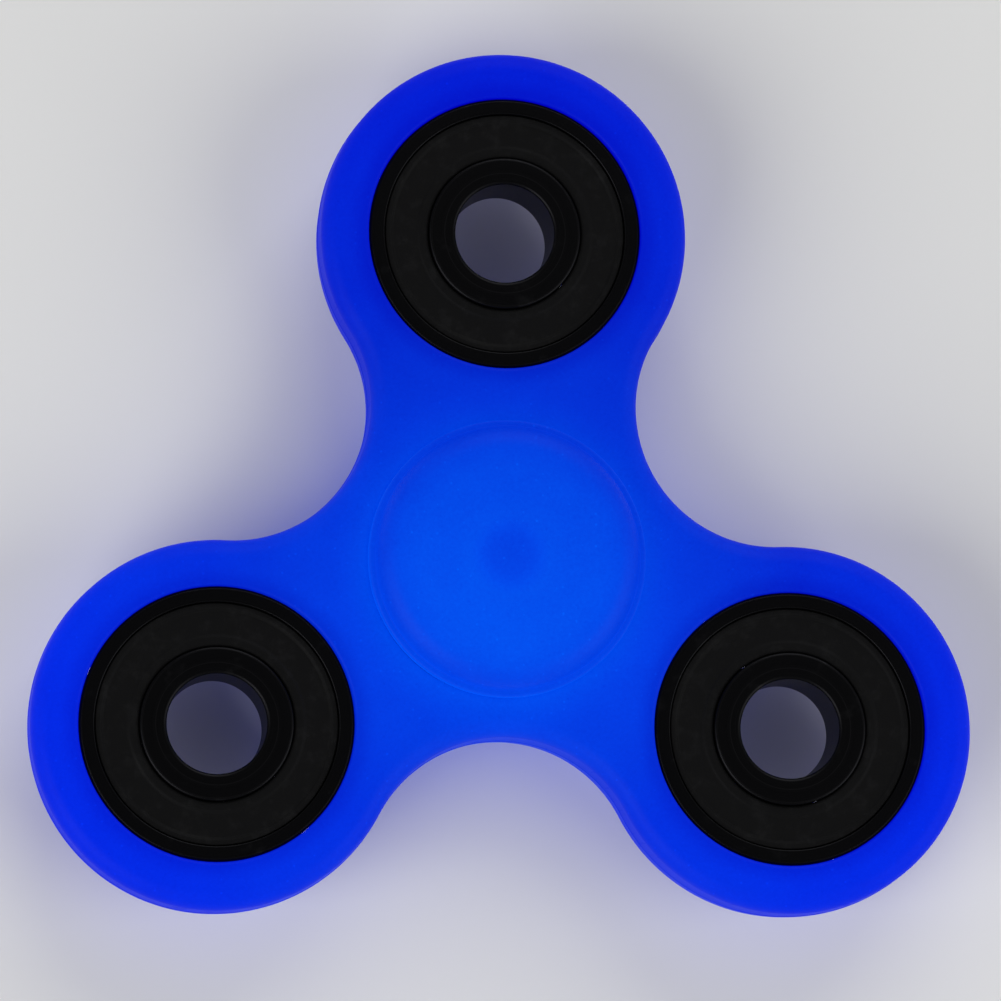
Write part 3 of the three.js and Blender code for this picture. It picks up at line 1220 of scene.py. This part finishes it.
        soft.angle_limit = math.radians(self.cage_edge_angle)
        bpy.ops.object.modifier_apply(modifier=soft.name)
        Bench.finish_surface(ring)
        return ring

    @staticmethod
    def cut(ring: bpy.types.Object, cutter: bpy.types.Object) -> None:
        """Cuts one pocket.

        Args:
            ring: The cage so far.
            cutter: The pocket's shape.
        """
        Bench.take(ring)
        pocket = ring.modifiers.new("pocket", "BOOLEAN")
        pocket.object = cutter
        pocket.operation = "DIFFERENCE"
        pocket.solver = "EXACT"
        bpy.ops.object.modifier_apply(modifier=pocket.name)

    def build(self, places: Sequence[Place], shop: "Workshop") -> None:
        """Models each piece once and sets a copy of it in every bearing.

        Args:
            places: The four bearings' places.
            shop: Dresses and places the pieces.
        """
        ring, race, seal = self.outer_ring(), self.inner_ring(), self.seal()
        cage, ball = self.cage(), self.ball()
        lower = Bench.copy(seal, "lower_seal", Vector((0, 0, 0)))
        Bench.turn_over(lower)
        for place in places:
            at = place.centre()
            name = place.prefix
            for master, node, slot, body in (
                (ring, f"{name}_outer_ring", "ring_steel", "spinner"),
                (race, f"{name}_inner_ring", "ring_steel", place.hub_body),
                (seal, f"{name}_upper_seal", "seal_rubber", "spinner"),
                (lower, f"{name}_lower_seal", "seal_rubber", "spinner"),
                (cage, f"{name}_cage", "cage_nylon", place.ball_body),
            ):
                shop.deliver(Bench.copy(master, f"{node}_finished", at), node, slot, body)
            for index in range(self.ball_count):
                angle = FULL_TURN * index / self.ball_count
                spread = Vector((math.cos(angle) - 1, math.sin(angle), 0)) * self.pitch
                node = f"{name}_ball_{index + 1}"
                twin = Bench.copy(ball, f"{node}_finished", at + spread)
                shop.deliver(twin, node, "ball_steel", place.ball_body)
        for master in (ring, race, seal, lower, cage, ball):
            bpy.data.objects.remove(master)


@dataclass
class FingerCap:
    """One of the two round caps the spinner is held by. Millimetres, modelled head up.

    The names that end in ease are how far a corner's rounding reaches.
    """

    side: Side
    underside: float = 4.3
    height: float = 3.3
    radius: float = 11.15
    lip_width: float = 0.55
    lip_height: float = 1.2
    shoulder_width: float = 2.0
    shoulder_foot: float = 0.2
    boss_radius: float = 5.9055
    post_radius: float = 3.96
    post_end: float = -3.2
    pin_radius: float = 2.09
    socket_radius: float = 2.15
    socket_ceiling: float = 5.6
    pin_end: float = -4.1
    bearing_face: float = 3.5
    flat_rings: tuple[float, ...] = (4.6, 0.6, 0.0)
    boss_ease: float = 0.12
    boss_foot_ease: float = 0.15
    rim_ease: float = 0.22
    lip_ease: float = 0.24
    shoulder_ease: float = 0.1
    socket_ease: float = 0.15
    post_ease: float = 0.4
    pin_ease: float = 0.35
    shoulder_steps: int = 14
    corner_steps: int = 5
    steps: int = 144

    def head(self) -> list[Corner]:
        """The profile from the boss's foot round the rim to the middle of the top.

        Returns:
            The corners in order.
        """
        top = self.underside + self.height
        lip_top = self.underside + self.lip_height
        shoulder = self.radius - self.lip_width
        foot = lip_top + self.shoulder_foot
        curve = [
            Corner(
                shoulder - self.shoulder_width * (1 - math.cos(angle)),
                foot + (top - foot) * math.sin(angle),
            )
            for angle in (
                math.pi / 2 * step / self.shoulder_steps for step in range(self.shoulder_steps + 1)
            )
        ]
        return [
            Corner(self.boss_radius, self.bearing_face, self.boss_ease),
            Corner(self.boss_radius, self.underside, self.boss_foot_ease),
            Corner(self.radius, self.underside, self.rim_ease),
            Corner(self.radius, lip_top, self.lip_ease),
            Corner(shoulder, lip_top, self.shoulder_ease),
            *curve,
            *(Corner(radius, top) for radius in self.flat_rings),
        ]

    def build(self, shop: "Workshop") -> None:
        """Makes the cap, with its hollow post or its pin, and turns the lower one over.

        Args:
            shop: Dresses and places the cap.
        """
        if self.side is Side.UPPER:
            stem = [
                Corner(0, self.socket_ceiling),
                Corner(self.socket_radius, self.socket_ceiling),
                Corner(self.socket_radius, self.post_end, self.socket_ease),
                Corner(self.post_radius, self.post_end, self.post_ease),
                Corner(self.post_radius, self.bearing_face),
            ]
        else:
            stem = [
                Corner(0, self.pin_end),
                Corner(self.pin_radius, self.pin_end, self.pin_ease),
                Corner(self.pin_radius, self.bearing_face, self.shoulder_ease),
            ]
        node = f"{self.side.value}_cap"
        profile = [*stem, *self.head()]
        cap = Lathe.turn(f"{node}_finished", profile, self.steps, False, self.corner_steps)
        if self.side is Side.LOWER:
            Bench.turn_over(cap)
        shop.deliver(cap, node, "glow_cap", "finger_caps")


@dataclass
class SpinnerBody:
    """The three-lobed moulding. Millimetres.

    band and seat_band are the widths of the faces kept clear for rounding, along the outline and round
    each seat. outside is how far past a seat the outline's own edges begin.
    """

    lobe_centres: Sequence[Vector]
    half: float = 3.8
    seat: float = 11.03
    wall: float = 3.87
    waist: float = 14.2
    draft: float = 0.12
    edge: float = 1.5
    seat_edge: float = 0.3
    seam: float = 0.05
    band: float = 1.56
    seat_band: float = 0.5
    outside: float = 1.5
    outline_weld: float = 0.004
    sharp_angle: float = 60.0
    lobe_steps: int = 60
    waist_steps: int = 32
    seat_steps: int = 96
    edge_steps: int = 9
    seat_edge_steps: int = 4

    def sixth(self) -> bpy.types.Object:
        """Draws a sixth of the outline: half of the first lobe and half of the waist beside it.

        Returns:
            The mesh, in edit mode.
        """
        lobe = self.seat + self.wall - self.draft
        reach = self.lobe_centres[0].length
        waist = self.waist - self.draft
        along = reach * math.cos(math.pi / 3)
        hollow = (reach**2 + waist**2 - 2 * waist * along - lobe**2) / (2 * (lobe + along - waist))
        bend = (waist + hollow) * Vector((math.cos(math.pi / 6), math.sin(math.pi / 6), 0))
        centre = Vector((0, reach, 0))
        towards = bend - centre
        sweep = math.pi / 2 - math.atan2(towards.y, towards.x)
        piece = Bench.start_from_point("spinner_body_finished", centre + Vector((0, lobe, 0)))
        bpy.ops.mesh.spin(steps=self.lobe_steps, angle=sweep, center=centre * MM, axis=(0, 0, 1))
        meeting = centre + towards.normalized() * lobe
        Bench.pick_points(lambda at: (at - meeting).length < SAME_PLACE)
        back = sweep - math.pi / 3
        bpy.ops.mesh.spin(steps=self.waist_steps, angle=back, center=bend * MM, axis=(0, 0, -1))
        return piece

    def outline(self) -> bpy.types.Object:
        """Mirrors the sixth and turns the pair round to close the outline.

        Returns:
            The mesh, in edit mode.
        """
        piece = self.sixth()
        Bench.pick_all()
        bpy.ops.mesh.duplicate()
        bpy.ops.transform.resize(value=(-1, 1, 1), center_override=(0, 0, 0))
        Bench.pick_points(lambda at: True)
        bpy.ops.mesh.spin(steps=3, dupli=True, angle=FULL_TURN, center=(0, 0, 0), axis=(0, 0, 1))
        Bench.pick_all()
        bpy.ops.mesh.remove_doubles(threshold=self.outline_weld * MM)
        return piece

    def face(self) -> bpy.types.Object:
        """Fills the outline round four open seats, with a band of faces along every edge to be rounded.

        Returns:
            The flat face at the body's underside, in edit mode.
        """
        piece = self.outline()
        outer = {vertex.co.xy.to_tuple(6) for vertex in bmesh.from_edit_mesh(piece.data).verts}
        bpy.ops.mesh.edge_face_add()
        bpy.ops.mesh.inset(thickness=self.band * MM, use_boundary=True, use_even_offset=True)
        bpy.ops.mesh.delete(type="ONLY_FACE")
        centres = (*self.lobe_centres, Vector((0, 0, 0)))
        ring = self.seat + self.seat_band
        for centre in centres:
            bpy.ops.mesh.primitive_circle_add(vertices=self.seat_steps, radius=ring * MM, location=centre * MM)
        Bench.pick_edges(lambda a, b, turn: not outer & {(a * MM).xy.to_tuple(6), (b * MM).xy.to_tuple(6)})
        bpy.ops.mesh.fill(use_beauty=True)
        for centre in centres:
            Bench.pick_points(lambda at, here=centre: abs((at - here).length - ring) < SAME_PLACE)
            Bench.extrude(Vector((0, 0, 0)))
            share = self.seat / ring
            bpy.ops.transform.resize(value=(share, share, 1), center_override=centre * MM)
        Bench.pick_all()
        bpy.ops.transform.translate(value=(0, 0, -self.half * MM))
        return piece

    def from_seat(self, at: Vector) -> float:
        """How far a point is from the nearest bearing's axis, in millimetres.

        Args:
            at: The point.

        Returns:
            The distance.
        """
        flat = Vector((at.x, at.y, 0))
        return min((flat - centre).length for centre in (*self.lobe_centres, Vector((0, 0, 0))))

    def build(self, shop: "Workshop") -> None:
        """Raises the face to the body's height, crowns its wall at the seam, and rounds its edges.

        Args:
            shop: Dresses and places the body.
        """
        piece = self.face()
        Bench.pick_all()
        Bench.extrude(Vector((0, 0, 2 * self.half)))
        Bench.pick_all()
        bpy.ops.mesh.normals_make_consistent(inside=False)
        bpy.ops.mesh.bisect(plane_co=(0, 0, 0), plane_no=(0, 0, 1))
        outside = self.seat + self.outside
        top = self.half - self.edge / 2

        def on_wall(first: Vector, second: Vector) -> bool:
            """Whether an edge lies along the outline and not in a seat."""
            return self.from_seat(first) > outside and self.from_seat(second) > outside

        Bench.pick_edges(
            lambda a, b, turn: abs(a.z) < SAME_PLACE and abs(b.z) < SAME_PLACE and on_wall(a, b)
        )
        bpy.ops.transform.shrink_fatten(value=self.draft * MM)
        bpy.ops.mesh.bevel(offset=2 * self.seam * MM, segments=2, profile=0.5, affect="EDGES")
        Bench.pick_points(lambda at: abs(at.z) < SAME_PLACE and self.from_seat(at) > outside)
        bpy.ops.transform.shrink_fatten(value=self.seam * MM)
        sharp = math.radians(self.sharp_angle)
        for wall, width, steps in (
            (True, self.edge, self.edge_steps),
            (False, self.seat_edge, self.seat_edge_steps),
        ):
            Bench.pick_edges(
                lambda a, b, turn: turn > sharp and min(abs(a.z), abs(b.z)) > top and on_wall(a, b) is wall
            )
            bpy.ops.mesh.bevel(
                offset=width * MM, segments=steps, profile=0.5, affect="EDGES", clamp_overlap=False
            )
        Bench.tidy_mesh()
        bpy.ops.object.mode_set(mode="OBJECT")
        Bench.finish_surface(piece)
        shop.deliver(piece, "spinner_body", "glow_body", "spinner")


# --- bringing it together --------------------------------------------------------------------------------


@dataclass
class Workshop:
    """Keeps the finishes and gives every piece its material, its slot and its body."""

    seats: SeatDistance
    shelf: dict[str, bpy.types.Material] = field(default_factory=dict)

    def __post_init__(self) -> None:
        """Mixes the finishes."""
        self.shelf = {
            "glow_body": GlowPlastic("glow plastic, body", GlowPiece.BODY, self.seats).material(),
            "glow_cap": GlowPlastic("glow plastic, caps", GlowPiece.CAP, self.seats).material(),
            "ring_steel": BlackSteel(seats=self.seats).material(),
            "seal_rubber": SealRubber(seats=self.seats).material(),
            "ball_steel": BallSteel().material(),
            "cage_nylon": CageNylon().material(),
            "floor": FloorPaint().material(),
        }

    def dress(self, piece: bpy.types.Object, finish: str) -> None:
        """Gives a piece one material.

        Args:
            piece: The piece.
            finish: Name of the finish on the shelf.
        """
        piece.data.materials.clear()
        piece.data.materials.append(self.shelf[finish])

    def deliver(self, piece: bpy.types.Object, node: str, finish: str, body: str) -> None:
        """Dresses a finished piece and puts it in place of its node.

        Args:
            piece: The finished piece.
            node: The model's node it stands for.
            finish: Name of its finish.
            body: The body it rides on.
        """
        self.dress(piece, finish)
        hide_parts(node)
        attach(piece, body)
        log.info("%s: %d faces, rides on %s", piece.name, len(piece.data.polygons), body)


@dataclass(frozen=True)
class Lamp:
    """One round soft lamp. Metres and watts."""

    name: str
    place: tuple[float, float, float]
    power: float
    size: float = 0.9

    def hang(self) -> None:
        """Hangs the lamp, facing the spinner."""
        light = bpy.data.lights.new(self.name, "AREA")
        light.shape = "DISK"
        light.size = self.size
        light.energy = self.power
        lamp = bpy.data.objects.new(self.name, light)
        lamp.location = self.place
        lamp.rotation_euler = (-Vector(self.place)).to_track_quat("-Z", "Y").to_euler()
        bpy.context.scene.collection.objects.link(lamp)


@dataclass
class Studio:
    """The floor, the soft light and the camera. Metres and radians, the lens and sensor in millimetres.

    sky gives the surround's grey by height, 0 at the horizon and 1 overhead.
    """

    floor_height: float
    floor_size: float = 3.0
    lamps: tuple[Lamp, ...] = (
        Lamp("key", (-0.70, -0.50, 0.60), 7.0),
        Lamp("fill", (0.80, -0.34, 0.58), 4.6),
        Lamp("back", (0.20, 0.84, 0.56), 4.4),
    )
    sky: tuple[tuple[float, float], ...] = ((0.0, 0.62), (0.45, 0.30), (0.72, 0.05), (1.0, 0.02))
    camera_place: tuple[float, float, float] = (-0.05289, -0.05444, 0.48274)
    tilt_x: float = -0.1224
    tilt_y: float = 0.1091
    roll: float = 0.0003
    lens: float = 217.71
    sensor: float = 36.0
    nearest: float = 0.01
    farthest: float = 20.0

    def floor(self, shop: Workshop) -> None:
        """Lays the floor under the lower cap.

        Args:
            shop: Has the floor's finish.
        """
        Bench.clear()
        bpy.ops.mesh.primitive_plane_add(size=self.floor_size, location=(0, 0, self.floor_height))
        Bench.settle()
        floor = bpy.context.object
        floor.name = "floor"
        shop.dress(floor, "floor")
        floor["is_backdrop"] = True

    def light(self) -> None:
        """Sets up the lamps and a surround that is bright at the horizon and dim overhead."""
        for lamp in self.lamps:
            lamp.hang()
        world = bpy.data.worlds.new("surround")
        world.use_nodes = True
        world.node_tree.nodes.clear()
        graph = Graph(world.node_tree)
        direction = graph.node("TexCoord").outputs["Generated"]
        rise = graph.node("SeparateXYZ", {0: direction}).outputs["Z"]
        sky = graph.ramp(rise, [(height, (grey, grey, grey)) for height, grey in self.sky])
        shade = graph.node("Background", {"Color": sky, "Strength": 1.0})
        output = graph.node("OutputWorld")
        world.node_tree.links.new(shade.outputs[0], output.inputs[0])
        bpy.context.scene.world = world

    def camera(self) -> None:
        """Stands the camera above the spinner, a little to its lower left."""
        data = bpy.data.cameras.new("camera")
        data.lens = self.lens
        data.sensor_width = self.sensor
        data.sensor_fit = "HORIZONTAL"
        data.clip_start = self.nearest
        data.clip_end = self.farthest
        camera = bpy.data.objects.new("camera", data)
        turn = (
            Matrix.Rotation(self.tilt_x, 3, "X")
            @ Matrix.Rotation(self.tilt_y, 3, "Y")
            @ Matrix.Rotation(self.roll, 3, "Z")
        ).transposed()
        camera.matrix_world = Matrix.Translation(self.camera_place) @ turn.to_4x4()
        bpy.context.scene.collection.objects.link(camera)
        bpy.context.scene.camera = camera
        bpy.context.scene.view_settings.view_transform = "Standard"


def plain(box: object) -> list:
    """A box as nested lists of plain numbers.

    Args:
        box: Two corners, or lists of them.

    Returns:
        The lists.
    """
    return [plain(item) for item in box] if hasattr(box, "__len__") else float(box)


def main() -> None:
    """Builds the spinner and its studio."""
    logging.basicConfig(level=logging.INFO, format="%(name)s: %(message)s")
    cad_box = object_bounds()
    places = [Place("centre", "finger_caps", "centre_ball_set")]
    places += [Place(f"lobe_{index}", f"lobe_{index}_hub", f"lobe_{index}_ball_set") for index in (1, 2, 3)]
    lobes = [place.centre() for place in places[1:]]
    shop = Workshop(SeatDistance(centres=tuple((centre.x, centre.y) for centre in lobes)))
    SpinnerBody(lobes).build(shop)
    FingerCap(Side.UPPER).build(shop)
    FingerCap(Side.LOWER).build(shop)
    BallBearing().build(places, shop)
    studio = Studio(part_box("lower_cap")[0].z - FLOOR_GAP)
    studio.floor(shop)
    studio.light()
    studio.camera()
    {"cad": plain(cad_box), "visual": plain(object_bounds())}


if __name__ == "__main__":
    main()
